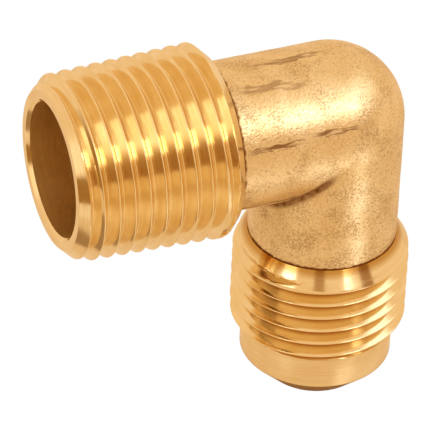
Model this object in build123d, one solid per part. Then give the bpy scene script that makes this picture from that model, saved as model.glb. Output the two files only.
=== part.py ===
from build123d import *
import math
import os

# Right-angle fitting of forged brass: a taper pipe thread on one leg, a 45 degree flare end on
# the other. The real fitting is a single piece, so its nodes are zones of that one forging,
# which meet face to face where the finish changes.
#
# Frame: origin where the two bore axes cross, pipe leg along -X, flare leg along -Z.
# Each end is drawn in its own frame, with +Z pointing out along its leg from the crossing,
# so a station is the distance from the crossing. Millimetres and degrees throughout.

# Forged elbow
TUBE_RADIUS = 6.7          # both legs and the round outer corner
CREASE_RADIUS = 0.9        # blend inside the corner, where the legs meet

# Taper pipe end, 3/8 in with 18 threads to the inch
PIPE_FACE = 26.2           # station of the end face
PIPE_COLLAR_BACK = 11.1    # station where the machined collar ends
PIPE_PITCH = 25.4 / 18
PIPE_PITCH_RADIUS = 7.7725     # at the end face
PIPE_TAPER = 1 / 16        # growth of diameter along the axis
PIPE_CREST_FLAT = 0.09
PIPE_ROOT_FLAT = 0.09
PIPE_FACE_RADIUS = 7.13    # outside edge of the flat end face
PIPE_BACK_RADIUS = 7.81    # outside edge of the collar's back
PIPE_THREAD_START = 12.0   # station where the groove starts to bite
PIPE_THREAD_TURN = 208.4   # direction of that start about the leg

# Flare end, 5/8 in with 18 threads to the inch
FLARE_NECK = 12.1          # station where the machined collar starts
FLARE_PITCH = 25.4 / 18
FLARE_MAJOR_RADIUS = 15.875 / 2
FLARE_NECK_RADIUS = 6.8
FLARE_CREST_FLAT = 0.09
FLARE_ROOT_FLAT = 0.09
FLARE_NECK_CHAMFER = 35.0  # between the collar's neck chamfer and the axis
FLARE_THREAD_START = 13.086
FLARE_THREAD_TURN = 90.0
FLARE_THREAD_END = 22.2    # station where the plain nose starts
NOSE_RADIUS = 6.85
NOSE_EDGE = 25.2           # station where the seat cone starts
SEAT_ANGLE = 45.0          # between the seat cone and the leg's axis
SEAT_TIP_RADIUS = 4.5      # outside edge of the flat ring at the tip

# Bores
PIPE_BORE_RADIUS = 6.06
PIPE_BORE_FLOOR = 13.0     # station of the pipe bore's inner corner
PASSAGE_RADIUS = 4.5       # from the pipe bore to just past the crossing
PASSAGE_OVERRUN = 1.0
FLARE_BORE_RADIUS = 3.57
BORE_BREAK = 0.3           # chamfer on the mouth of each bore
DRILL_POINT = 118.0

# Common to both threads
THREAD_ANGLE = 60.0
RUNOUT_SHARE = 0.25        # share of a turn over which a groove comes to full depth
COLLAR_CHAMFER = 45.0
CUTTER_OVERSHOOT = 0.03    # of a thread cutter past the crest

HALF_FLANK = math.tan(math.radians(THREAD_ANGLE / 2))


def turned(*outline):
    """Revolve an outline of (radius, station) points about the leg's axis."""
    points = [(radius, 0, station) for radius, station in outline]
    return revolve(make_face(Polyline(*points, close=True)), Axis.Z)


def helix_turns(root_at, pitch, start, turns):
    """Root line of a groove from a station on, as one edge for each turn or part of one."""
    edges, done = [], 0
    while done < turns:
        share = min(1, turns - done)
        station = start + pitch * done
        growth = (root_at(station + pitch * share) - root_at(station)) / (pitch * share)
        slope = math.atan(growth)
        turn = Edge.make_helix(pitch / math.cos(slope), pitch * share, root_at(station),
                               angle=math.degrees(slope))
        edges.append(Pos(0, 0, station) * turn)
        done += share
    return Wire(edges)


def groove_cutter(root_at, depth, root_flat, pitch, start, turns):
    """Cutter of a right-hand groove that starts on the +X side at a station."""
    root = root_at(start)
    reach = depth + CUTTER_OVERSHOOT
    low, high = root_flat / 2, root_flat / 2 + reach * HALF_FLANK
    outline = [(root, 0, start - low), (root, 0, start + low),
               (root + reach, 0, start + high), (root + reach, 0, start - high)]
    section = make_face(Polyline(*outline, close=True))
    return sweep(sections=section, path=helix_turns(root_at, pitch, start, turns), is_frenet=True)


def cut_thread(blank, start, turn, finish, pitch, root_at, depth, root_flat):
    """Cut a groove that bites at station start and has left the blank at station finish."""
    full = start + RUNOUT_SHARE * pitch
    turns = math.ceil((finish - full) / pitch) + 1

    def entry_root(station):
        return root_at(full) + depth * (full - station) / (full - start)

    blank -= Rot(0, 0, turn) * groove_cutter(entry_root, depth, root_flat, pitch, start, RUNOUT_SHARE)
    full_turn = turn + 360 * RUNOUT_SHARE
    blank -= Rot(0, 0, full_turn) * groove_cutter(root_at, depth, root_flat, pitch, full, turns)
    return blank


def crest_height(crest_flat, root_flat, pitch):
    """Depth of a thread from its crest flat to its root flat."""
    return (pitch - crest_flat - root_flat) / (2 * HALF_FLANK)


def pipe_crest(station):
    """Radius of the taper thread's crests at a station."""
    above_pitch_line = (PIPE_PITCH / 2 - PIPE_CREST_FLAT) / (2 * HALF_FLANK)
    return PIPE_PITCH_RADIUS + above_pitch_line + (PIPE_FACE - station) * PIPE_TAPER / 2


def pipe_collar():
    """Threaded collar of the pipe leg, chamfered at both ends."""
    slope = math.tan(math.radians(COLLAR_CHAMFER))
    front = PIPE_FACE - (pipe_crest(PIPE_FACE) - PIPE_FACE_RADIUS) / slope
    back = PIPE_COLLAR_BACK + (pipe_crest(PIPE_COLLAR_BACK) - PIPE_BACK_RADIUS) / slope
    blank = turned((0, PIPE_COLLAR_BACK), (PIPE_BACK_RADIUS, PIPE_COLLAR_BACK), (pipe_crest(back), back),
                   (pipe_crest(front), front), (PIPE_FACE_RADIUS, PIPE_FACE), (0, PIPE_FACE))
    depth = crest_height(PIPE_CREST_FLAT, PIPE_ROOT_FLAT, PIPE_PITCH)
    return cut_thread(blank, PIPE_THREAD_START, PIPE_THREAD_TURN, PIPE_FACE, PIPE_PITCH,
                      lambda station: pipe_crest(station) - depth, depth, PIPE_ROOT_FLAT)


def flare_collar():
    """Threaded collar of the flare leg, from the forged neck to the plain nose."""
    slope = math.tan(math.radians(COLLAR_CHAMFER))
    depth = crest_height(FLARE_CREST_FLAT, FLARE_ROOT_FLAT, FLARE_PITCH)
    root = FLARE_MAJOR_RADIUS - depth
    neck_slope = math.tan(math.radians(FLARE_NECK_CHAMFER))
    top = FLARE_NECK + (FLARE_MAJOR_RADIUS - FLARE_NECK_RADIUS) / neck_slope
    bottom = FLARE_THREAD_END - depth / slope
    blank = turned((0, FLARE_NECK), (FLARE_NECK_RADIUS, FLARE_NECK), (FLARE_MAJOR_RADIUS, top),
                   (FLARE_MAJOR_RADIUS, bottom), (root, FLARE_THREAD_END), (0, FLARE_THREAD_END))
    return cut_thread(blank, FLARE_THREAD_START, FLARE_THREAD_TURN, FLARE_THREAD_END, FLARE_PITCH,
                      lambda station: root, depth, FLARE_ROOT_FLAT)


def seat_tip():
    """Station of the flat ring at the end of the flare seat."""
    return NOSE_EDGE + (NOSE_RADIUS - SEAT_TIP_RADIUS) / math.tan(math.radians(SEAT_ANGLE))


def flare_nose():
    """Plain nose and 45 degree seat cone past the flare thread."""
    return turned((0, FLARE_THREAD_END), (NOSE_RADIUS, FLARE_THREAD_END), (NOSE_RADIUS, NOSE_EDGE),
                  (SEAT_TIP_RADIUS, seat_tip()), (0, seat_tip()))


def forged_elbow():
    """Two round legs that meet at a right angle, with a ball as the outer corner."""
    outward = (Align.CENTER, Align.CENTER, Align.MIN)
    pipe_leg = on_pipe_leg(Cylinder(TUBE_RADIUS, PIPE_COLLAR_BACK, align=outward))
    flare_leg = on_flare_leg(Cylinder(TUBE_RADIUS, FLARE_NECK, align=outward))
    body = pipe_leg + flare_leg + Sphere(TUBE_RADIUS)
    middles = [(edge, edge.center()) for edge in body.edges()]
    crease = [edge for edge, at in middles if max(at.X, at.Z) < 0 and abs(at.X - at.Z) < CREASE_RADIUS]
    return fillet(crease, CREASE_RADIUS)


def drilling(radius, mouth, end):
    """Drilled hole from the mouth's station to end, with the drill's point beyond end."""
    point = end - radius / math.tan(math.radians(DRILL_POINT / 2))
    return turned((0, mouth), (radius, mouth), (radius, end), (0, point))


def mouth_break(radius, face):
    """Chamfer that opens a bore's mouth at an end face."""
    return turned((0, face), (radius + BORE_BREAK, face),
                  (radius, face - BORE_BREAK), (0, face - BORE_BREAK))


def on_pipe_leg(shape):
    """Lay a shape drawn on +Z along the pipe leg, which points to -X."""
    return Rot(0, -90, 0) * shape


def on_flare_leg(shape):
    """Lay a shape drawn on +Z along the flare leg, which points to -Z."""
    return Rot(180, 0, 0) * shape


def drilled(solid):
    """Take the bores of both legs out of a zone of the fitting."""
    solid -= on_pipe_leg(drilling(PIPE_BORE_RADIUS, PIPE_FACE, PIPE_BORE_FLOOR))
    solid -= on_pipe_leg(mouth_break(PIPE_BORE_RADIUS, PIPE_FACE))
    solid -= on_pipe_leg(drilling(PASSAGE_RADIUS, PIPE_BORE_FLOOR, -PASSAGE_OVERRUN))
    solid -= on_flare_leg(drilling(FLARE_BORE_RADIUS, seat_tip(), 0))
    solid -= on_flare_leg(mouth_break(FLARE_BORE_RADIUS, seat_tip()))
    return solid


os.makedirs("parts", exist_ok=True)
export_step(drilled(forged_elbow()), "parts/forged_elbow.step")
export_step(drilled(on_pipe_leg(pipe_collar())), "parts/pipe_thread_collar.step")
export_step(drilled(on_flare_leg(flare_collar())), "parts/flare_thread_collar.step")
export_step(drilled(on_flare_leg(flare_nose())), "parts/flare_seat_nose.step")
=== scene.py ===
"""Right-angle brass fitting with a taper pipe thread on one leg and a flare end on the other."""
import logging
import math
from dataclasses import dataclass
from enum import Enum
from typing import Callable, Sequence

import bpy
from mathutils import Matrix, Vector


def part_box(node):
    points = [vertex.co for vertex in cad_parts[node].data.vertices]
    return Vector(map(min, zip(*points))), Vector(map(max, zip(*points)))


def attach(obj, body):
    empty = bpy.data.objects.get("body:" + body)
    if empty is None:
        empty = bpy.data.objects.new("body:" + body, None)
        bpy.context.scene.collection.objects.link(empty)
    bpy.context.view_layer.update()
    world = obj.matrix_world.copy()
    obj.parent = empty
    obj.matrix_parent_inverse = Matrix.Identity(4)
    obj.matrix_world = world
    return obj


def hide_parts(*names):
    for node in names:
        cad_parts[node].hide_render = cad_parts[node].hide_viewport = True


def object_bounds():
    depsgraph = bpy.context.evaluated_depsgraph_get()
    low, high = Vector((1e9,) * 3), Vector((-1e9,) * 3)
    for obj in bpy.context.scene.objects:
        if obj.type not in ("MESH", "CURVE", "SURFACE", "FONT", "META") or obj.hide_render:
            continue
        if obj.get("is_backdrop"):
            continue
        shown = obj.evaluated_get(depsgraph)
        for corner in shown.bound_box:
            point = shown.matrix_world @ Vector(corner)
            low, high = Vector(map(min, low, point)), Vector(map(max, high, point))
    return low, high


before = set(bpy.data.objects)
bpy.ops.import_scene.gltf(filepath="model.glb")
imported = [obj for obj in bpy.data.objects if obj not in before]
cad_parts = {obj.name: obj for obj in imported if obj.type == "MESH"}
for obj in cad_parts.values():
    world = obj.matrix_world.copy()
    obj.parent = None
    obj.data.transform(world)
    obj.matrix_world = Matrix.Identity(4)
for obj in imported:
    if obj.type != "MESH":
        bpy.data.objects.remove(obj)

LOG = logging.getLogger("fitting")
MM = 0.001
PITCH = 25.4 / 18                         # both threads have 18 turns to the inch
HALF_FLANK = math.tan(math.radians(30))   # the flanks of a thread stand 60 degrees apart
DRILL_SLOPE = math.tan(math.radians(59))  # a drill's point is 118 degrees across
MERGE = 0.0004                            # points closer than this, in millimetres, are one
ON_PLANE = 0.002                          # a point this near a plane, in millimetres, is on it
HOLE_ALLOWANCE = 0.01                     # faces within a hole's radius and this line the hole

Ring = tuple[float, float]                # radius and station, in millimetres
Colour = tuple[float, float, float, float]
Tree = bpy.types.NodeTree
Socket = bpy.types.NodeSocket


class Leg(Enum):
    """Turns a leg's own frame, +Z outward from the crossing, into the fitting's frame."""

    PIPE = Matrix(((0, 0, -1, 0), (0, 1, 0, 0), (1, 0, 0, 0), (0, 0, 0, 1)))
    FLARE = Matrix(((1, 0, 0, 0), (0, -1, 0, 0), (0, 0, -1, 0), (0, 0, 0, 1)))


def span(node_name: str, leg: Leg) -> tuple[float, float]:
    """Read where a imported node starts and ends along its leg.

    Args:
        node_name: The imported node.
        leg: The leg that the node lies on.

    Returns:
        The near and the far station: distances from the crossing, in millimetres.
    """
    low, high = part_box(node_name)
    axis = 0 if leg is Leg.PIPE else 2
    return round(-high[axis] / MM, 3), round(-low[axis] / MM, 3)


PIPE_BACK, PIPE_FACE = span("pipe_thread_collar", Leg.PIPE)
FLARE_NECK, FLARE_END = span("flare_thread_collar", Leg.FLARE)
SEAT_TIP = span("flare_seat_nose", Leg.FLARE)[1]
TUBE_RADIUS = round(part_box("forged_elbow")[1][1] / MM, 3)
PIPE_HOLE, PASSAGE, FLARE_HOLE = 6.06, 4.5, 3.57    # radii of the three drillings
PIPE_HOLE_FLOOR = 13.0                              # station of the wide hole's inner corner
MOUTH_BREAK = 0.3                                   # chamfer on the mouth of a hole


def linear(code: str) -> Colour:
    """Turn an sRGB hex colour into linear light.

    Args:
        code: Six hex digits after a hash.

    Returns:
        Red, green, blue and a full alpha.
    """
    shares = [int(code[i:i + 2], 16) / 255 for i in (1, 3, 5)]
    red, green, blue = [s / 12.92 if s <= 0.04045 else ((s + 0.055) / 1.055) ** 2.4 for s in shares]
    return (red, green, blue, 1.0)


def node(tree: Tree, kind: str, links: dict | None = None, **settings) -> bpy.types.Node:
    """Add a node with its settings, constants and links.

    Args:
        tree: The node tree that gets the node.
        kind: The node's type name, without "ShaderNode" before it.
        links: Input name or number to a socket that feeds it, or to a constant.
        settings: Attributes of the node.

    Returns:
        The new node.
    """
    made = tree.nodes.new("ShaderNode" + kind)
    for name, value in settings.items():
        setattr(made, name, value)
    for key, source in (links or {}).items():
        socket = made.inputs[key]
        if isinstance(source, Socket):
            tree.links.new(source, socket)
        else:
            socket.default_value = source
    return made


def soft_mask(tree: Tree, steps: Sequence[tuple[Socket, float, float]]) -> Socket:
    """Mask that is 1 only where every one of some values is past its own soft step.

    Args:
        tree: The node tree that gets the nodes.
        steps: Each value, with where its step starts, at 0, and where it ends, at 1.

    Returns:
        The product of the steps.
    """
    mask = None
    for value, start, stop in steps:
        step = node(tree, "MapRange", {"Value": value, "From Min": start, "From Max": stop},
                    interpolation_type="SMOOTHSTEP").outputs[0]
        mask = step if mask is None else node(tree, "Math", {0: mask, 1: step},
                                              operation="MULTIPLY").outputs[0]
    return mask


def off_azimuth(tree: Tree, way: Socket, azimuth: float) -> Socket:
    """Measure how far a direction points to either side of an azimuth, seen from above.

    Args:
        tree: The node tree that gets the nodes.
        way: The direction.
        azimuth: Degrees from +X towards +Y.

    Returns:
        The angle between them, in radians, never negative.
    """
    turned = node(tree, "VectorRotate", {"Vector": way, "Angle": -math.radians(azimuth)},
                  rotation_type="Z_AXIS").outputs[0]
    parts = node(tree, "SeparateXYZ", {"Vector": turned}).outputs
    swing = node(tree, "Math", {0: parts[1], 1: parts[0]}, operation="ARCTAN2").outputs[0]
    return node(tree, "Math", {0: swing}, operation="ABSOLUTE").outputs[0]


# ---------------------------------------------------------------- modelling by hand


def deselect() -> None:
    """Leave object mode with nothing selected."""
    if bpy.context.object is not None and bpy.context.object.mode != "OBJECT":
        bpy.ops.object.mode_set(mode="OBJECT")
    bpy.ops.object.select_all(action="DESELECT")


def activate(piece: bpy.types.Object) -> None:
    """Make a piece the only selected and the active one."""
    deselect()
    piece.select_set(True)
    bpy.context.view_layer.objects.active = piece


def apply_modifier(piece: bpy.types.Object, kind: str, **settings) -> None:
    """Add a modifier with its settings and apply it.

    Args:
        piece: The piece that gets the modifier.
        kind: The modifier's type.
        settings: Attributes of the modifier.
    """
    activate(piece)
    modifier = piece.modifiers.new(kind.title(), kind)
    for name, value in settings.items():
        setattr(modifier, name, value)
    bpy.ops.object.modifier_apply(modifier=modifier.name)


def select_where(piece: bpy.types.Object, test: Callable[[Vector], bool]) -> None:
    """In edit mode, select just the vertices, edges and faces whose vertices all pass a test.

    Args:
        piece: The piece in edit mode.
        test: Says whether a place, in millimetres, is selected.
    """
    bpy.ops.mesh.select_mode(type="VERT")
    bpy.ops.mesh.select_all(action="DESELECT")
    bpy.ops.object.mode_set(mode="OBJECT")
    for vertex in piece.data.vertices:
        vertex.select = test(vertex.co / MM)
    bpy.ops.object.mode_set(mode="EDIT")


def select_open_edges() -> None:
    """In edit mode, select just the edges that have a face on one side or none."""
    bpy.ops.mesh.select_mode(type="EDGE")
    bpy.ops.mesh.select_all(action="DESELECT")
    bpy.ops.mesh.select_non_manifold(extend=False, use_wire=True, use_boundary=True, use_multi_face=False,
                                     use_non_contiguous=False, use_verts=False)


def select_rim(piece: bpy.types.Object, station: float) -> None:
    """In edit mode, select the open rim that lies at a station.

    Args:
        piece: The piece in edit mode, in its leg's frame.
        station: Distance from the crossing, in millimetres.
    """
    select_open_edges()
    bpy.ops.object.mode_set(mode="OBJECT")
    points = piece.data.vertices
    for edge in piece.data.edges:
        if edge.select:
            edge.select = all(abs(points[i].co.z / MM - station) < 5 * ON_PLANE for i in edge.vertices)
    kept = {i for edge in piece.data.edges if edge.select for i in edge.vertices}
    for point in points:
        point.select = point.index in kept
    bpy.ops.object.mode_set(mode="EDIT")


def set_ring(piece: bpy.types.Object, radius: float, station: float) -> None:
    """Put the selected vertices on a circle about the leg's axis, each in its own direction.

    Args:
        piece: The piece in edit mode, in its leg's frame.
        radius: Radius of the circle, in millimetres.
        station: Distance of the circle from the crossing, in millimetres.
    """
    bpy.ops.object.mode_set(mode="OBJECT")
    for vertex in piece.data.vertices:
        if vertex.select:
            flat = Vector((vertex.co.x, vertex.co.y)).normalized() * radius * MM
            vertex.co = (flat.x, flat.y, station * MM)
    bpy.ops.object.mode_set(mode="EDIT")


def turn_rings(piece: bpy.types.Object, rings: Sequence[Ring]) -> None:
    """Extrude the selected rim through a row of rings, as a lathe cut goes round a corner.

    Args:
        piece: The piece in edit mode, in its leg's frame.
        rings: Radius and station of each ring, in millimetres.
    """
    for radius, station in rings:
        bpy.ops.mesh.extrude_region_move()
        set_ring(piece, radius, station)


def finish_shell(piece: bpy.types.Object, leg: Leg | None, smooth_below: float) -> None:
    """Weld a shell, face it outward, put it in the fitting's frame and shade it.

    Args:
        piece: The closed piece.
        leg: The leg in whose frame it was made, or None if it is in place.
        smooth_below: Edges that turn by less than this many degrees are shaded smooth.
    """
    activate(piece)
    bpy.ops.object.mode_set(mode="EDIT")
    bpy.ops.mesh.select_all(action="SELECT")
    bpy.ops.mesh.remove_doubles(threshold=MERGE * MM)
    bpy.ops.mesh.normals_make_consistent(inside=False)
    bpy.ops.object.mode_set(mode="OBJECT")
    if leg is not None:
        piece.data.transform(leg.value)
    bpy.ops.object.shade_smooth_by_angle(angle=math.radians(smooth_below))


def dress(piece: bpy.types.Object, node_name: str, finish: "Brass",
          holes: tuple[float, float]) -> None:
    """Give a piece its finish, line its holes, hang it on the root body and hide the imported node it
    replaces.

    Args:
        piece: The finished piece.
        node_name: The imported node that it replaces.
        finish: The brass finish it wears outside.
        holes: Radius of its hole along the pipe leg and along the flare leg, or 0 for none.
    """
    pipe_hole, flare_hole = holes
    piece.data.materials.clear()
    piece.data.materials.append(finish.material())
    piece.data.materials.append(DRILLED.material())
    points = [vertex.co / MM for vertex in piece.data.vertices]
    for face in piece.data.polygons:
        corners = [points[i] for i in face.vertices]
        along_pipe = all(math.hypot(at.y, at.z) < pipe_hole + HOLE_ALLOWANCE and at.x < pipe_hole
                         for at in corners)
        along_flare = all(math.hypot(at.x, at.y) < flare_hole + HOLE_ALLOWANCE and at.z < flare_hole
                          for at in corners)
        face.material_index = int(along_pipe or along_flare)
    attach(piece, "root")
    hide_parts(node_name)


# ---------------------------------------------------------------- finishes


@dataclass(frozen=True)
class Brass:
    """Bare leaded brass, the way a lathe or a forging die leaves it."""

    name: str
    colour: str
    shade: str
    roughness: float

    def material(self) -> bpy.types.Material:
        """Build the material, or hand back the one that is there.

        Returns:
            The material.
        """
        found = bpy.data.materials.get(self.name)
        if found is not None:
            return found
        made = bpy.data.materials.new(self.name)
        made.use_nodes = True
        tree = made.node_tree
        tree.nodes.clear()
        shader = node(tree, "BsdfPrincipled", {"Metallic": 1.0})
        node(tree, "OutputMaterial", {"Surface": shader.outputs[0]})
        place = node(tree, "TexCoord").outputs["Object"]
        self.paint(tree, shader, place)
        return made

    def paint(self, tree: Tree, shader: bpy.types.Node, place: Socket) -> None:
        """Wire the finish's own pattern into the shader.

        Args:
            tree: The material's node tree.
            shader: The Principled shader.
            place: The Object coordinates.
        """
        raise NotImplementedError


@dataclass(frozen=True)
class TurnedBrass(Brass):
    """Lathe-cut brass: bright, with fine rings left round the axis by the tool.

    The feed leaves a ring every 0.05 mm or so. That is too fine to show, so rings are drawn coarser.
    """

    axis: int = 0
    ring_mm: float = 0.16
    ring_run_mm: float = 6.0        # how far a ring keeps its strength round the piece
    ring_depth_mm: float = 0.0012
    cloud_mm: float = 2.5           # size of the faint patches where the metal has dulled
    root_mm: float = 0.0            # radius at which the painted root shade is full, or 0 for no such shade
    root_rise_mm: float = 0.55      # height over which the painted root shade fades out
    # colour of the painted shade in the thread roots
    root_shade: str = "#C99A50"

    def paint(self, tree: Tree, shader: bpy.types.Node, place: Socket) -> None:
        """Wire tool rings into the height, the gloss and the colour, and any painted root shade into the
        colour.

        Args:
            tree: The material's node tree.
            shader: The Principled shader.
            place: The Object coordinates.
        """
        scale = [1 / (self.ring_run_mm * MM)] * 3
        scale[self.axis] = 1 / (self.ring_mm * MM)
        along = node(tree, "Mapping", {"Vector": place, "Scale": scale}).outputs[0]
        rings = node(tree, "TexNoise", {"Vector": along, "Scale": 1.0, "Detail": 3.0}).outputs["Fac"]
        bump = node(tree, "Bump", {"Height": rings, "Strength": 1.0, "Distance": self.ring_depth_mm * MM})
        tree.links.new(bump.outputs[0], shader.inputs["Normal"])
        cloud = node(tree, "TexNoise", {"Vector": place, "Scale": 1 / (self.cloud_mm * MM),
                                        "Detail": 3.0}).outputs["Fac"]
        both = node(tree, "Math", {0: rings, 1: cloud}, operation="MULTIPLY").outputs[0]
        tone = node(tree, "MapRange", {"Value": both, "From Min": 0.12, "From Max": 0.4}).outputs[0]
        skin = node(tree, "Mix", {"Factor": tone, 6: linear(self.shade), 7: linear(self.colour)},
                    data_type="RGBA").outputs[2]
        # Painted shade: the colour darkens towards the thread's roots, standing in for the shade there.
        if self.root_mm > 0:
            squash = [1.0, 1.0, 1.0]
            squash[self.axis] = 0.0
            flat = node(tree, "Mapping", {"Vector": place, "Scale": squash}).outputs[0]
            out = node(tree, "VectorMath", {0: flat}, operation="LENGTH").outputs["Value"]
            deep = soft_mask(tree, [(out, (self.root_mm + self.root_rise_mm) * MM, self.root_mm * MM)])
            skin = node(tree, "Mix", {"Factor": deep, 6: skin, 7: linear(self.root_shade)},
                        data_type="RGBA").outputs[2]
        tree.links.new(skin, shader.inputs["Base Color"])
        gloss = node(tree, "MapRange", {"Value": rings, "From Min": 0.3, "From Max": 0.7,
                                        "To Min": self.roughness + 0.05,
                                        "To Max": self.roughness - 0.03}).outputs[0]
        tree.links.new(gloss, shader.inputs["Roughness"])


@dataclass(frozen=True)
class Streak:
    """A long dark streak that lies along the pipe leg; most are oxide and one is painted shade."""

    turn: float        # degrees round the leg, from straight up
    near: float        # stations of its ends, in millimetres
    far: float
    width: float       # from its middle to its side, in millimetres
    strength: float


@dataclass(frozen=True)
class ForgedBrass(Brass):
    """Die-forged brass: a satin skin with scale specks, oxide streaks, faint dents, and painted shade in the
    corners and along one streak.

    The real grain is about 0.1 mm across. That is too fine to show, so it is drawn coarser.
    """

    # Brown of the oxide, which also draws the painted shade in the corners and along one streak.
    oxide: str = "#7E4A12"
    oxide_dulling: float = 0.25      # roughness that full oxide and full painted shade add
    grain_mm: float = 0.24
    cloud_mm: float = 3.2            # size of the patches of lighter and darker skin
    speck_mm: float = 0.17
    clump_mm: float = 2.2            # size of the clumps that specks gather in
    speck_strength: float = 0.42
    ragged_mm: float = 0.5           # size of the teeth on the edges of the painted shade in the corners
    drift_mm: float = 2.4            # length over which a streak strays to a side and back
    drift: float = 0.3               # how far it may stray, in radians round the leg
    thread_mm: float = 0.3           # size of the fine threads in a streak
    thread_draw: float = 0.16        # how much shorter a thread is across than along
    streak_edge: float = 0.1         # length over which a streak's side fades, in millimetres
    streak_fade: float = 1.5         # length over which its ends fade
    height_mm: float = 0.027         # relief of the grain
    tube_radius: float = TUBE_RADIUS
    neck: float = FLARE_NECK
    shoulder: float = PIPE_BACK - 0.4
    streaks: tuple[Streak, ...] = ()

    def paint(self, tree: Tree, shader: bpy.types.Node, place: Socket) -> None:
        """Wire grain, specks, streaks and painted corner shade into the colour, the gloss and the height.

        Args:
            tree: The material's node tree.
            shader: The Principled shader.
            place: The Object coordinates.
        """
        sizes = ((self.grain_mm, 3.0), (self.cloud_mm, 4.0), (self.ragged_mm, 3.0))
        grain, cloud, ragged = (
            node(tree, "TexNoise", {"Vector": place, "Scale": 1 / (size * MM),
                                    "Detail": detail}).outputs["Fac"]
            for size, detail in sizes)
        # Dark marks: oxide specks and streaks, with painted shade in the corners and along one streak.
        marks = [self.specks(tree, place), *self.streak_marks(tree, place),
                 *self.corner_marks(tree, place, ragged)]
        dark = marks[0]
        for mark in marks[1:]:
            dark = node(tree, "Math", {0: dark, 1: mark}, operation="MAXIMUM").outputs[0]
        tone = 0.0
        for value, low, high, share in ((cloud, 0.35, 0.65, 0.55), (grain, 0.38, 0.62, 0.45)):
            step = soft_mask(tree, [(value, low, high)])
            tone = node(tree, "Math", {0: step, 1: share, 2: tone}, operation="MULTIPLY_ADD").outputs[0]
        skin = node(tree, "Mix", {"Factor": tone, 6: linear(self.shade), 7: linear(self.colour)},
                    data_type="RGBA").outputs[2]
        colour = node(tree, "Mix", {"Factor": dark, 6: skin, 7: linear(self.oxide)}, data_type="RGBA")
        tree.links.new(colour.outputs[2], shader.inputs["Base Color"])
        rough = node(tree, "MapRange", {"Value": dark, "To Min": self.roughness,
                                        "To Max": self.roughness + self.oxide_dulling}).outputs[0]
        tree.links.new(rough, shader.inputs["Roughness"])
        height = node(tree, "Math", {0: dark, 1: -0.6, 2: grain}, operation="MULTIPLY_ADD").outputs[0]
        bump = node(tree, "Bump", {"Height": height, "Strength": 1.0, "Distance": self.height_mm * MM})
        tree.links.new(bump.outputs[0], shader.inputs["Normal"])

    def specks(self, tree: Tree, place: Socket) -> Socket:
        """Mark the scale specks, which gather in clumps and are a little thicker down the flare leg.

        Args:
            tree: The material's node tree.
            place: The Object coordinates.

        Returns:
            Strength of the specks.
        """
        clumps, fine = (
            node(tree, "TexNoise", {"Vector": place, "Scale": 1 / (size * MM),
                                    "Detail": detail}).outputs["Fac"]
            for size, detail in ((self.clump_mm, 3.0), (self.speck_mm, 2.0)))
        z = node(tree, "SeparateXYZ", {"Vector": place}).outputs[2]
        down_leg = soft_mask(tree, [(z, 2 * MM, -7 * MM)])
        crowd = node(tree, "Math", {0: down_leg, 1: 0.05, 2: fine}, operation="MULTIPLY_ADD").outputs[0]
        crowd = node(tree, "Math", {0: clumps, 1: 0.6, 2: crowd}, operation="MULTIPLY_ADD").outputs[0]
        spots = soft_mask(tree, [(crowd, 0.78, 1.06)])
        return node(tree, "Math", {0: spots, 1: self.speck_strength}, operation="MULTIPLY").outputs[0]

    def streak_marks(self, tree: Tree, place: Socket) -> list[Socket]:
        """Mark the dark streaks, oxide and painted shade: drawn-out threads in a wandering band along the
        pipe leg.

        Args:
            tree: The material's node tree.
            place: The Object coordinates.

        Returns:
            Strength of each streak.
        """
        x, y, z = node(tree, "SeparateXYZ", {"Vector": place}).outputs
        drift = node(tree, "TexNoise", {"Vector": place, "Scale": 1 / (self.drift_mm * MM),
                                        "Detail": 3.0}).outputs["Fac"]
        turn = node(tree, "Math", {0: y, 1: z}, operation="ARCTAN2").outputs[0]
        turn = node(tree, "Math", {0: drift, 1: self.drift, 2: turn}, operation="MULTIPLY_ADD").outputs[0]
        drawn = node(tree, "Mapping", {"Vector": place, "Scale": (self.thread_draw, 1.0, 1.0)}).outputs[0]
        threads = node(tree, "TexNoise", {"Vector": drawn, "Scale": 1 / (self.thread_mm * MM),
                                          "Detail": 4.0}).outputs["Fac"]
        marks = []
        for streak in self.streaks:
            middle = math.radians(streak.turn) + self.drift / 2
            off = node(tree, "Math", {0: turn, 1: middle}, operation="SUBTRACT").outputs[0]
            off = node(tree, "Math", {0: off}, operation="ABSOLUTE").outputs[0]
            mark = soft_mask(tree, [
                (threads, 0.36, 0.56),
                (off, streak.width / self.tube_radius, (streak.width - self.streak_edge) / self.tube_radius),
                (x, -streak.far * MM, (self.streak_fade - streak.far) * MM),
                (x, -streak.near * MM, -(streak.near + self.streak_fade) * MM)])
            marks.append(node(tree, "Math", {0: mark, 1: streak.strength}, operation="MULTIPLY").outputs[0])
        return marks

    def corner_marks(self, tree: Tree, place: Socket,
                     ragged: Socket) -> list[Socket]:
        """Mark painted shade in the corners, where shade falls: the inner crease and the two machined
        shoulders.

        Args:
            tree: The material's node tree.
            place: The Object coordinates.
            ragged: Noise that gives the marks ragged edges.

        Returns:
            Strength of each mark.
        """
        x, _, z = node(tree, "SeparateXYZ", {"Vector": place}).outputs
        apart = node(tree, "Math", {0: x, 1: z}, operation="SUBTRACT").outputs[0]
        fold = node(tree, "Math", {0: apart}, operation="ABSOLUTE").outputs[0]
        inner = node(tree, "Math", {0: x, 1: z}, operation="MAXIMUM").outputs[0]
        crease = soft_mask(tree, [(fold, 1.0 * MM, 0.3 * MM), (inner, -1.2 * MM, -2.6 * MM)])
        patchy = node(tree, "Math", {0: ragged, 1: 0.8, 2: 0.45}, operation="MULTIPLY_ADD").outputs[0]
        marks = [node(tree, "Math", {0: crease, 1: patchy}, operation="MULTIPLY").outputs[0]]
        for way, end in ((x, self.shoulder), (z, self.neck)):
            uneven = node(tree, "Math", {0: ragged, 1: -0.5 * MM, 2: way},
                          operation="MULTIPLY_ADD").outputs[0]
            line = soft_mask(tree, [(uneven, (0.05 - end) * MM, (-0.2 - end) * MM)])
            marks.append(node(tree, "Math", {0: line, 1: 0.95}, operation="MULTIPLY").outputs[0])
        return marks


# ---------------------------------------------------------------- threads


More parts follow.
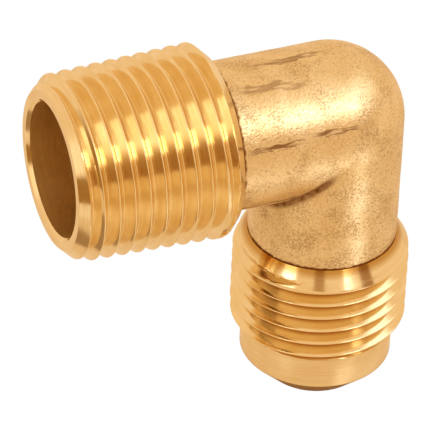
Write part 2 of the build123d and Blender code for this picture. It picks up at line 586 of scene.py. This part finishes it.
@dataclass(frozen=True)
class Groove:
    """Right-hand thread groove of 18 turns to the inch."""

    crest_flat: float
    root_flat: float
    start: float                   # station where it starts to bite
    start_turn: float              # direction of that start about the leg, in degrees
    run_in: float = 0.25           # share of a turn over which it comes to full depth
    edge_round: float = 0.035
    closest: float = 0.015         # least distance between two points of the section

    @property
    def depth(self) -> float:
        """Depth from the crest flat to the root flat, in millimetres."""
        return (PITCH - self.crest_flat - self.root_flat) / (2 * HALF_FLANK)

    def sharp_drop(self, offset: float) -> float:
        """Depth below the crest at an axial distance from the groove's middle, with sharp corners."""
        across = abs((offset + PITCH / 2) % PITCH - PITCH / 2)
        return min(self.depth, max(0.0, self.depth - (across - self.root_flat / 2) / HALF_FLANK))

    def drop(self, offset: float) -> float:
        """Depth below the crest with the corners rounded off."""
        steps = [self.edge_round * (k / 8 - 1) for k in range(17)]
        return sum(self.sharp_drop(offset + step) for step in steps) / len(steps)

    def section(self) -> list[Ring]:
        """One pitch of the thread, closest points at the corners.

        Returns:
            Depth and axial distance from the groove's middle, from 0 to one pitch.
        """
        inner, outer = self.root_flat / 2, (PITCH - self.crest_flat) / 2
        places = {round(k * PITCH / 20, 4) for k in range(21)}
        for corner in (inner, outer, PITCH - outer, PITCH - inner):
            places |= {round(corner + self.edge_round * k, 4) for k in (-1, -0.5, 0, 0.5, 1)}
        kept: list[float] = []
        for place in sorted(p for p in places if 0 <= p < PITCH - 0.01):
            if not kept or place - kept[-1] > self.closest:
                kept.append(place)
        kept.append(PITCH)
        return [(self.drop(place), place) for place in kept]

    def share(self, turn: float, station: float) -> float:
        """How far the groove nearest to a place has come to full depth.

        Args:
            turn: Direction of the place about the leg, in degrees.
            station: Distance of the place from the crossing.

        Returns:
            A share from 0 to 1.
        """
        ahead = ((turn - self.start_turn) % 360) / 360
        count = round((station - self.start) / PITCH - ahead)
        return min(1.0, max(0.0, (ahead + count) / self.run_in))


@dataclass(frozen=True)
class ThreadedCollar:
    """A machined collar with a thread cut on it, chamfered at both ends and bored through."""

    name: str
    leg: Leg
    groove: Groove
    back: Ring                     # outer edge of the face next to the forging
    front: Ring                    # outer edge of the face at the open end
    crest_at_front: float          # radius of the crests there, before the chamfer
    taper: float                   # growth of the diameter along the leg
    bore: tuple[Ring, ...]
    finish: Brass
    slot: str
    holes: tuple[float, float]     # radius of the hole along the pipe leg and along the flare leg
    back_chamfer: float = 45.0     # between that chamfer and the leg's axis
    steps: int = 180

    def crest(self, station: float) -> float:
        """Radius of the crests at a station."""
        return self.crest_at_front + (self.front[1] - station) * self.taper / 2

    def outline(self, station: float) -> float:
        """Largest radius that the chamfers leave at a station."""
        slope = math.tan(math.radians(self.back_chamfer))
        return min(self.back[0] + (station - self.back[1]) * slope, self.front[0] + self.front[1] - station)

    def build(self) -> bpy.types.Object:
        """Wind the thread, trim it to the collar, and turn the faces and the bore.

        Returns:
            The finished piece.
        """
        piece = self.wound_section()
        self.trim(piece)
        self.bore_out(piece)
        finish_shell(piece, self.leg, smooth_below=32)
        dress(piece, self.name, self.finish, self.holes)
        return piece

    def wound_section(self) -> bpy.types.Object:
        """Draw one pitch of the section, repeat it along the leg and wind it round the axis.

        Returns:
            The wound thread, open at both ends and longer than the collar.
        """
        deselect()
        first = self.groove.start - PITCH * (math.ceil((self.groove.start - self.back[1]) / PITCH) + 2)
        radius = self.crest(self.front[1])
        section = self.groove.section()
        bpy.ops.mesh.primitive_plane_add(size=MM)
        piece = bpy.context.object
        piece.name = self.name + "_turned"
        piece.data.name = piece.name
        bpy.ops.object.mode_set(mode="EDIT")
        bpy.ops.mesh.select_mode(type="VERT")
        bpy.ops.mesh.select_all(action="SELECT")
        bpy.ops.mesh.merge(type="CENTER")
        bpy.ops.transform.translate(value=((radius - section[0][0]) * MM, 0, first * MM))
        for before, after in zip(section, section[1:]):
            step = ((before[0] - after[0]) * MM, 0, (after[1] - before[1]) * MM)
            bpy.ops.mesh.extrude_region_move(TRANSFORM_OT_translate={"value": step})
        bpy.ops.object.mode_set(mode="OBJECT")
        count = math.ceil((self.front[1] - first) / PITCH) + 2
        apply_modifier(piece, "ARRAY", count=count, use_relative_offset=False, use_constant_offset=True,
                       constant_offset_displace=(0, 0, PITCH * MM), use_merge_vertices=True,
                       merge_threshold=MERGE * MM)
        apply_modifier(piece, "SCREW", axis="Z", angle=2 * math.pi, screw_offset=PITCH * MM,
                       steps=self.steps, render_steps=self.steps, use_merge_vertices=False)
        return piece

    def trim(self, piece: bpy.types.Object) -> None:
        """Turn the thread to its start, taper it, run it in, and cut it to the collar's outline.

        Args:
            piece: The wound thread, in its leg's frame.
        """
        offset = self.crest(self.front[1])
        piece.data.transform(Matrix.Rotation(math.radians(self.groove.start_turn), 4, "Z"))
        for vertex in piece.data.vertices:
            flat = Vector((vertex.co.x, vertex.co.y)) / MM
            station = vertex.co.z / MM
            drop = offset - flat.length
            turn = math.degrees(math.atan2(flat.y, flat.x))
            shallow = self.groove.depth * (1 - self.groove.share(turn, station))
            radius = self.crest(station) - max(0.0, drop - shallow)
            if station <= self.back[1]:
                radius, station = self.back
            elif station >= self.front[1]:
                radius, station = self.front
            else:
                radius = min(radius, self.outline(station))
            flat = flat.normalized() * radius * MM
            vertex.co = (flat.x, flat.y, station * MM)
        activate(piece)
        bpy.ops.object.mode_set(mode="EDIT")
        bpy.ops.mesh.select_all(action="SELECT")
        bpy.ops.mesh.remove_doubles(threshold=MERGE * MM)
        bpy.ops.mesh.delete_loose(use_verts=True, use_edges=True, use_faces=False)
        bpy.ops.object.mode_set(mode="OBJECT")

    def bore_out(self, piece: bpy.types.Object) -> None:
        """Turn the front face, the bore and the back face, and close the shell.

        Args:
            piece: The trimmed thread, in its leg's frame.
        """
        activate(piece)
        bpy.ops.object.mode_set(mode="EDIT")
        select_rim(piece, self.front[1])
        turn_rings(piece, self.bore)
        close_rims()
        bpy.ops.object.mode_set(mode="OBJECT")


def close_rims() -> None:
    """In edit mode, bridge the two rims that are still open."""
    select_open_edges()
    bpy.ops.mesh.bridge_edge_loops()


# ---------------------------------------------------------------- plain nose


@dataclass(frozen=True)
class FlareNose:
    """Plain nose with the cone that the flared tube seats on, bored through."""

    name: str
    finish: Brass
    slot: str
    rings: tuple[Ring, ...]
    sides: int = 180
    edge_break: float = 0.06

    def build(self) -> bpy.types.Object:
        """Turn the nose from a circle, round its edges and dress it.

        Returns:
            The finished piece.
        """
        deselect()
        radius, station = self.rings[0]
        bpy.ops.mesh.primitive_circle_add(vertices=self.sides, radius=radius * MM,
                                          location=(0, 0, station * MM))
        piece = bpy.context.object
        bpy.ops.object.transform_apply(location=True, rotation=True, scale=True)
        piece.name = self.name + "_turned"
        piece.data.name = piece.name
        bpy.ops.object.mode_set(mode="EDIT")
        bpy.ops.mesh.select_mode(type="EDGE")
        bpy.ops.mesh.select_all(action="SELECT")
        turn_rings(piece, self.rings[1:])
        close_rims()
        bpy.ops.object.mode_set(mode="OBJECT")
        apply_modifier(piece, "BEVEL", width=self.edge_break * MM, segments=3, limit_method="ANGLE",
                       angle_limit=math.radians(30), use_clamp_overlap=True)
        finish_shell(piece, Leg.FLARE, smooth_below=32)
        dress(piece, self.name, self.finish, (0.0, self.rings[-1][0]))
        return piece


# ---------------------------------------------------------------- forging


@dataclass(frozen=True)
class ForgedElbow:
    """The forged corner: two round legs, a ball outside and a soft crease inside."""

    name: str
    finish: Brass
    slot: str
    radius: float
    pipe_length: float
    flare_length: float
    passage_radius: float
    passage_end: float
    bore_radius: float
    sides: int = 192
    hole_sides: int = 96
    ball_steps: int = 40
    row_cuts: int = 54
    long_edge: float = 3.0         # edges longer than this are cut into rows
    crease_reach: float = 0.7      # how far to each side the crease is softened
    crease_start: float = 0.25     # how far from the crossing that begins
    dent_mm: float = 0.05
    grain_share: float = 0.35      # depth of the grain beside that of the dents

    def build(self) -> bpy.types.Object:
        """Shape the skin, roughen it, drill it and dress it.

        Returns:
            The finished piece.
        """
        piece = self.skin()
        self.roughen(piece)
        self.drill(piece)
        finish_shell(piece, None, smooth_below=40)
        dress(piece, self.name, self.finish, (self.passage_radius, self.bore_radius))
        return piece

    def skin(self) -> bpy.types.Object:
        """Mitre a tube's inner half, spin its outer half round the corner and draw the other leg down.

        Returns:
            The closed skin, with both ends flat.
        """
        deselect()
        bpy.ops.mesh.primitive_cylinder_add(vertices=self.sides, radius=self.radius * MM,
                                            depth=self.pipe_length * MM, end_fill_type="NOTHING",
                                            location=(-self.pipe_length / 2 * MM, 0, 0),
                                            rotation=(0, math.pi / 2, 0))
        piece = bpy.context.object
        bpy.ops.object.transform_apply(location=True, rotation=True, scale=True)
        piece.name = self.name + "_skin"
        piece.data.name = piece.name
        for vertex in piece.data.vertices:
            if vertex.co.x > -ON_PLANE * MM:
                vertex.co.x = min(0.0, vertex.co.z)
        bpy.ops.object.mode_set(mode="EDIT")
        select_where(piece, lambda at: abs(at.x) < ON_PLANE and at.z > -ON_PLANE)
        bpy.ops.mesh.spin(steps=self.ball_steps, angle=math.pi / 2, center=(0, 0, 0), axis=(0, -1, 0))
        bpy.ops.mesh.select_all(action="SELECT")
        bpy.ops.mesh.remove_doubles(threshold=MERGE * MM)
        select_where(piece, lambda at: abs(at.z) < ON_PLANE and at.x > -ON_PLANE
                     or at.z < ON_PLANE and abs(at.x - at.z) < ON_PLANE)
        bpy.ops.mesh.extrude_region_move()
        bpy.ops.object.mode_set(mode="OBJECT")
        for vertex in piece.data.vertices:
            if vertex.select:
                vertex.co.z = -self.flare_length * MM
        bpy.ops.object.mode_set(mode="EDIT")
        self.cut_rows(piece)
        return piece

    def cut_rows(self, piece: bpy.types.Object) -> None:
        """Divide the long faces of both legs into short rows and soften the crease.

        Args:
            piece: The skin, in edit mode.
        """
        bpy.ops.mesh.select_mode(type="EDGE")
        bpy.ops.mesh.select_all(action="DESELECT")
        bpy.ops.object.mode_set(mode="OBJECT")
        points = piece.data.vertices
        for edge in piece.data.edges:
            ends = [points[i].co for i in edge.vertices]
            edge.select = (ends[0] - ends[1]).length > self.long_edge * MM
        bpy.ops.object.mode_set(mode="EDIT")
        bpy.ops.mesh.subdivide(number_cuts=self.row_cuts)
        select_where(piece, lambda at: max(at.x, at.z) < -self.crease_start
                     and abs(at.x - at.z) < self.crease_reach)
        bpy.ops.mesh.vertices_smooth(factor=0.5, repeat=6)
        for station, normal in ((self.pipe_length, 0), (self.flare_length, 2)):
            bpy.ops.mesh.select_mode(type="EDGE")
            select_where(piece, lambda at: abs(at[normal] + station) < ON_PLANE)
            bpy.ops.mesh.edge_face_add()
        bpy.ops.mesh.select_all(action="SELECT")
        bpy.ops.mesh.normals_make_consistent(inside=False)
        bpy.ops.object.mode_set(mode="OBJECT")

    def roughen(self, piece: bpy.types.Object) -> None:
        """Give the skin the faint dents and grain of a forging die.

        Args:
            piece: The closed skin.
        """
        for name, size, depth in (("dents", 2.6, self.dent_mm),
                                  ("grain", 0.55, self.dent_mm * self.grain_share)):
            clouds = bpy.data.textures.new(name, "CLOUDS")
            clouds.noise_scale = size * MM
            clouds.noise_depth = 2
            apply_modifier(piece, "DISPLACE", texture=clouds, texture_coords="LOCAL", mid_level=0.5,
                           strength=depth * MM)
        for vertex in piece.data.vertices:
            vertex.co.x = max(vertex.co.x, -self.pipe_length * MM)
            vertex.co.z = max(vertex.co.z, -self.flare_length * MM)

    def drill(self, piece: bpy.types.Object) -> None:
        """Drill the passage of the pipe leg and the bore of the flare leg until they meet.

        Args:
            piece: The closed skin.
        """
        holes = ((Leg.PIPE, self.passage_radius, self.pipe_length + 1, self.passage_end),
                 (Leg.FLARE, self.bore_radius, self.flare_length + 1, 0.0))
        for leg, radius, mouth, end in holes:
            deselect()
            bpy.ops.mesh.primitive_circle_add(vertices=self.hole_sides, radius=radius * MM,
                                              fill_type="NGON", location=(0, 0, mouth * MM))
            cutter = bpy.context.object
            bpy.ops.object.transform_apply(location=True, rotation=True, scale=True)
            bpy.ops.object.mode_set(mode="EDIT")
            bpy.ops.mesh.select_all(action="SELECT")
            turn_rings(cutter, ((radius, end), (0.02, end - radius / DRILL_SLOPE)))
            bpy.ops.mesh.select_all(action="SELECT")
            bpy.ops.mesh.normals_make_consistent(inside=False)
            bpy.ops.object.mode_set(mode="OBJECT")
            cutter.data.transform(leg.value)
            apply_modifier(piece, "BOOLEAN", object=cutter, operation="DIFFERENCE", solver="EXACT")
            bpy.data.objects.remove(cutter)


# ---------------------------------------------------------------- studio


@dataclass(frozen=True)
class Panel:
    """A soft light or a dark flag, by where it hangs in the room as seen from the fitting.

    Angles are in degrees, and level is its brightness beside the room's.
    """

    azimuth: float
    elevation: float
    width: float
    height: float
    level: float
    tint: str = "#FFFFFF"
    soft: float = 4.0


@dataclass(frozen=True)
class Card:
    """A patch painted into the table's glow that shows only in the metal: a white one is painted light, a
    dark one painted shade.

    The azimuth and the width are in degrees, and near and far are its edges' distances from the
    fitting's upright axis, in millimetres.
    """

    azimuth: float
    width: float
    near: float
    far: float
    level: float
    tint: str = "#FFFFFF"
    soft_sides: float = 2.0    # degrees
    soft_near: float = 1.0     # millimetres
    soft_far: float = 3.0


def lit(code: str, level: float) -> Colour:
    """Colour of a light: an sRGB hex tint times its level."""
    red, green, blue, alpha = linear(code)
    return (red * level, green * level, blue * level, alpha)


@dataclass(frozen=True)
class Studio:
    """Pale table and a room of soft panels round the fitting."""

    room: float
    tint: str
    panels: tuple[Panel, ...]
    table_radius: float = 100.0
    table_glow: float = 0.78                          # how bright the metal sees the table
    table_tint: str = "#FFDBB0"
    foot_tint: str = "#FFA850"                        # brass light on the table near the fitting
    foot_shade: float = 0.3                           # share of the glow left under the fitting
    shade_radius: tuple[float, float] = (5.8, 9.0)    # where that shade starts and ends
    sheen: float = 0.12
    sheen_roughness: float = 0.18
    cards: tuple[Card, ...] = ()

    def build(self) -> None:
        """Hang the panels and lay the table."""
        self.hang()
        self.lay_table()

    def hang(self) -> None:
        """Build the room's light as one world shader, plain white to the camera itself."""
        world = bpy.data.worlds.new("studio room")
        bpy.context.scene.world = world
        world.use_nodes = True
        tree = world.node_tree
        tree.nodes.clear()
        way = node(tree, "TexCoord").outputs["Generated"]
        height = node(tree, "SeparateXYZ", {"Vector": way}).outputs[2]
        rise = node(tree, "Math", {0: height}, operation="ARCSINE").outputs[0]
        total = lit(self.tint, self.room)
        for panel in self.panels:
            swing = off_azimuth(tree, way, panel.azimuth)
            lift = node(tree, "Math", {0: rise, 1: math.radians(panel.elevation)},
                        operation="SUBTRACT").outputs[0]
            lift = node(tree, "Math", {0: lift}, operation="ABSOLUTE").outputs[0]
            mask = soft_mask(tree, [(value, math.radians((reach + panel.soft) / 2),
                                     math.radians((reach - panel.soft) / 2))
                                    for value, reach in ((swing, panel.width), (lift, panel.height))])
            total = node(tree, "Mix", {"Factor": mask, 6: total, 7: lit(panel.tint, panel.level)},
                         data_type="RGBA").outputs[2]
        seen = node(tree, "LightPath").outputs["Is Camera Ray"]
        total = node(tree, "Mix", {"Factor": seen, 6: total, 7: linear("#FFFFFF")},
                     data_type="RGBA").outputs[2]
        light = node(tree, "Background", {"Color": total, "Strength": 1.0})
        node(tree, "OutputWorld", {"Surface": light.outputs[0]})

    def lay_table(self) -> None:
        """Lay a round table top under the fitting, shaded where the fitting stands on it.

        White acrylic, cast and polished: to the camera it is an even white, and what the metal
        mirrors of it is a pale glow, warmer and darker close to the foot, under a faint sheen.
        """
        deselect()
        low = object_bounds()[0]
        bpy.ops.mesh.primitive_circle_add(vertices=96, radius=self.table_radius * MM, fill_type="NGON",
                                          location=(0, 0, low[2]))
        table = bpy.context.object
        table.name = "table_top"
        bpy.ops.object.transform_apply(location=True, rotation=True, scale=True)
        made = bpy.data.materials.new("white acrylic table")
        made.use_nodes = True
        tree = made.node_tree
        tree.nodes.clear()
        place = node(tree, "TexCoord").outputs["Object"]
        flat = node(tree, "VectorMath", {0: place, 1: (1, 1, 0)}, operation="MULTIPLY").outputs[0]
        away = node(tree, "VectorMath", {0: flat}, operation="LENGTH").outputs["Value"]
        open_air = node(tree, "MapRange", {
            "Value": away, "From Min": self.shade_radius[0] * MM, "From Max": self.shade_radius[1] * MM,
            "To Min": self.foot_shade, "To Max": 1.0}, interpolation_type="SMOOTHSTEP").outputs[0]
        cast = node(tree, "Mix", {"Factor": open_air, 6: lit(self.foot_tint, self.table_glow),
                                  7: lit(self.table_tint, self.table_glow)}, data_type="RGBA").outputs[2]
        cast = node(tree, "VectorMath", {0: cast, "Scale": open_air}, operation="SCALE").outputs[0]
        # Painted light and shade: patches laid into the table's glow.
        for card in self.cards:
            cast = self.lay_card(tree, place, away, cast, card)
        glow = node(tree, "Emission", {"Color": cast, "Strength": 1.0})
        sheen = node(tree, "BsdfGlossy", {"Color": lit("#FFFFFF", self.sheen),
                                             "Roughness": self.sheen_roughness})
        both = node(tree, "AddShader", {0: glow.outputs[0], 1: sheen.outputs[0]})
        white = node(tree, "Emission", {"Color": linear("#FFFFFF"), "Strength": 1.0})
        seen = node(tree, "LightPath").outputs["Is Camera Ray"]
        shown = node(tree, "MixShader", {0: seen, 1: both.outputs[0], 2: white.outputs[0]})
        node(tree, "OutputMaterial", {"Surface": shown.outputs[0]})
        table.data.materials.append(made)
        table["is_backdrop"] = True

    def lay_card(self, tree: Tree, place: Socket, away: Socket,
                 under: Socket, card: Card) -> Socket:
        """Paint one patch of light or shade into the table's glow.

        Args:
            tree: The table's node tree.
            place: The Object coordinates.
            away: Distance from the fitting's upright axis.
            under: Colour of the table's glow without the patch.
            card: The painted patch of light or shade.

        Returns:
            Colour of the table's glow with the patch.
        """
        half = card.width / 2
        mask = soft_mask(tree, [
            (off_azimuth(tree, place, card.azimuth), math.radians(half + card.soft_sides),
             math.radians(half - card.soft_sides)),
            (away, (card.near - card.soft_near) * MM, (card.near + card.soft_near) * MM),
            (away, (card.far + card.soft_far) * MM, (card.far - card.soft_far) * MM)])
        return node(tree, "Mix", {"Factor": mask, 6: under, 7: lit(card.tint, card.level)},
                    data_type="RGBA").outputs[2]


@dataclass(frozen=True)
class Viewpoint:
    """Where the camera stands, by the point it looks at."""

    aim: tuple[float, float, float]    # in millimetres, as is the distance
    distance: float
    turn: float                        # degrees about +Z, from looking along +Y
    elevation: float
    roll: float
    lens: float

    def build(self) -> None:
        """Set the camera up and make it the scene's own."""
        deselect()
        bpy.ops.object.camera_add()
        camera = bpy.context.object
        way = (Matrix.Rotation(math.radians(self.turn), 4, "Z")
               @ Matrix.Rotation(math.radians(90 - self.elevation), 4, "X")
               @ Matrix.Rotation(math.radians(self.roll), 4, "Z"))
        aim = Vector(self.aim) * MM
        camera.matrix_world = Matrix.Translation(aim + way @ Vector((0, 0, self.distance * MM))) @ way
        camera.data.lens = self.lens
        camera.data.sensor_width = 36.0
        camera.data.clip_start = 0.01
        camera.data.dof.use_dof = False
        bpy.context.scene.camera = camera
        bpy.context.scene.view_settings.view_transform = "Standard"


# ---------------------------------------------------------------- the fitting


# Leaded brass, forged hot between dies and pickled. It gives the eye a pale gold satin: highlights
# spread wide over a fine grain, brown scale stays as specks and streaks, and the corners get painted shade.
FORGED = ForgedBrass("forged brass", "#F6E0B2", "#E6C892", 0.34, streaks=(
    Streak(-69, 4.2, 10.6, 0.35, 0.85),
    Streak(-65, -0.8, 4.6, 0.35, 0.8),
    Streak(-22, 3.0, 10.5, 0.5, 0.5),
    Streak(2, 0.0, 8.5, 0.4, 0.6),
    # painted shade along the pipe leg's underside, by the crease
    Streak(-130, 4.0, 11.2, 0.35, 0.9),
    Streak(75, 1.5, 9.5, 0.45, 0.5),
    Streak(130, 3.0, 10.0, 0.4, 0.5),
))
# Leaded brass, threaded on a lathe with a single-point tool. It gives the eye near-mirror flanks:
# light and dark bands with crisp ends, drawn out along each turn by the faint tool rings.
PIPE_TURNED = TurnedBrass("threaded brass", "#F6E3B6", "#EED49E", 0.12, axis=0)
# The same cut on the straight thread, with amber painted shade in its deep roots, as if they mirrored brass.
FLARE_TURNED = TurnedBrass("flare threaded brass", "#F6E3B6", "#EED49E", 0.12, axis=2, root_mm=6.87)
# Leaded brass, turned smooth but not polished. It gives the eye a soft, even gleam.
NOSE_TURNED = TurnedBrass("turned brass", "#F5E0B2", "#ECD19C", 0.24, axis=2)
# Leaded brass, drilled. It gives the eye a duller, yellower wall with coarse rings.
DRILLED = TurnedBrass("drilled brass", "#F8DC9C", "#EECB84", 0.38, axis=0, ring_mm=0.4)

# Crests are 16.6 mm across at the pipe's end face and 5/8 inch all along the flare thread. The wide
# hole steps down to the passage on the slope that a drill's point leaves.
PIPE_COLLAR = ThreadedCollar(
    name="pipe_thread_collar", leg=Leg.PIPE,
    groove=Groove(crest_flat=0.09, root_flat=0.09, start=12.0, start_turn=208.4),
    back=(7.81, PIPE_BACK), front=(7.13, PIPE_FACE), crest_at_front=8.3055, taper=1 / 16,
    bore=((PIPE_HOLE + MOUTH_BREAK, PIPE_FACE), (PIPE_HOLE, PIPE_FACE - MOUTH_BREAK),
          (PIPE_HOLE, PIPE_HOLE_FLOOR),
          (PASSAGE, round(PIPE_HOLE_FLOOR - (PIPE_HOLE - PASSAGE) / DRILL_SLOPE, 3)),
          (PASSAGE, PIPE_BACK)),
    finish=PIPE_TURNED, slot="threaded_brass", holes=(PIPE_HOLE, 0.0))
FLARE_COLLAR = ThreadedCollar(
    name="flare_thread_collar", leg=Leg.FLARE,
    groove=Groove(crest_flat=0.09, root_flat=0.09, start=13.086, start_turn=90.0),
    back=(6.8, FLARE_NECK), front=(6.8715, FLARE_END), crest_at_front=15.875 / 2, taper=0.0,
    bore=((FLARE_HOLE, FLARE_END), (FLARE_HOLE, FLARE_NECK)), finish=FLARE_TURNED,
    slot="flare_threaded_brass", holes=(0.0, FLARE_HOLE), back_chamfer=35.0)
NOSE = FlareNose("flare_seat_nose", NOSE_TURNED, "turned_brass", rings=(
    (6.85, FLARE_END), (6.85, 25.2), (4.5, SEAT_TIP), (FLARE_HOLE + MOUTH_BREAK, SEAT_TIP),
    (FLARE_HOLE, SEAT_TIP - MOUTH_BREAK), (FLARE_HOLE, FLARE_END)))
ELBOW = ForgedElbow("forged_elbow", FORGED, "forged_brass", radius=TUBE_RADIUS, pipe_length=PIPE_BACK,
                    flare_length=FLARE_NECK, passage_radius=PASSAGE, passage_end=-1.0,
                    bore_radius=FLARE_HOLE)
# A pale warm room. The camera stands at azimuth -113, so -24 is on its right and -178 on its left.
STUDIO = Studio(room=0.98, tint="#FFDEB7", panels=(
    Panel(-71, 14, 28, 22, 0.75, "#FFD0A0", 3),     # amber flags low on the right
    Panel(-50, 15, 15, 27, 0.42, "#FFB870", 3),
    Panel(-24, 46, 58, 29, 1.6, "#FFFFFF", 8),      # broad light high on the right
    Panel(-66, 41, 26, 22, 3.8, "#FFFFFF", 3),      # main light, high and in front
    Panel(-113, 33, 14, 9, 0.5, "#FFC080", 3),      # the dim spot where the camera stands
    Panel(-155, 30, 18, 12, 2.4),                   # small light on the left
    Panel(-178, -12, 70, 26, 0.4, "#FFB860", 3),    # amber flag low on the left
    Panel(-170, 14, 50, 20, 1.25, "#FFE8CC"),       # broad light behind it
), cards=(
    Card(-61, 13, 24.0, 44.0, 1.9),                 # painted light: a white patch on the table, on the right
    Card(-178, 26, 36.0, 64.0, 0.3, "#FFC080"),     # painted shade: an amber patch on the table, on the left, past the pipe leg
))
VIEW = Viewpoint(aim=(-11.0234, -1.3042, -7.4769), distance=485.999, turn=-23.2, elevation=36.541,
                 roll=2.831, lens=460.47)


def main() -> None:
    """Build the fitting, the studio and the view."""
    logging.basicConfig(level=logging.INFO, format="%(message)s")
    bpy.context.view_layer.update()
    for part in (PIPE_COLLAR, FLARE_COLLAR, NOSE, ELBOW):
        piece = part.build()
        LOG.info("%s: %d faces", piece.name, len(piece.data.polygons))
    STUDIO.build()
    VIEW.build()


if __name__ == "__main__":
    main()
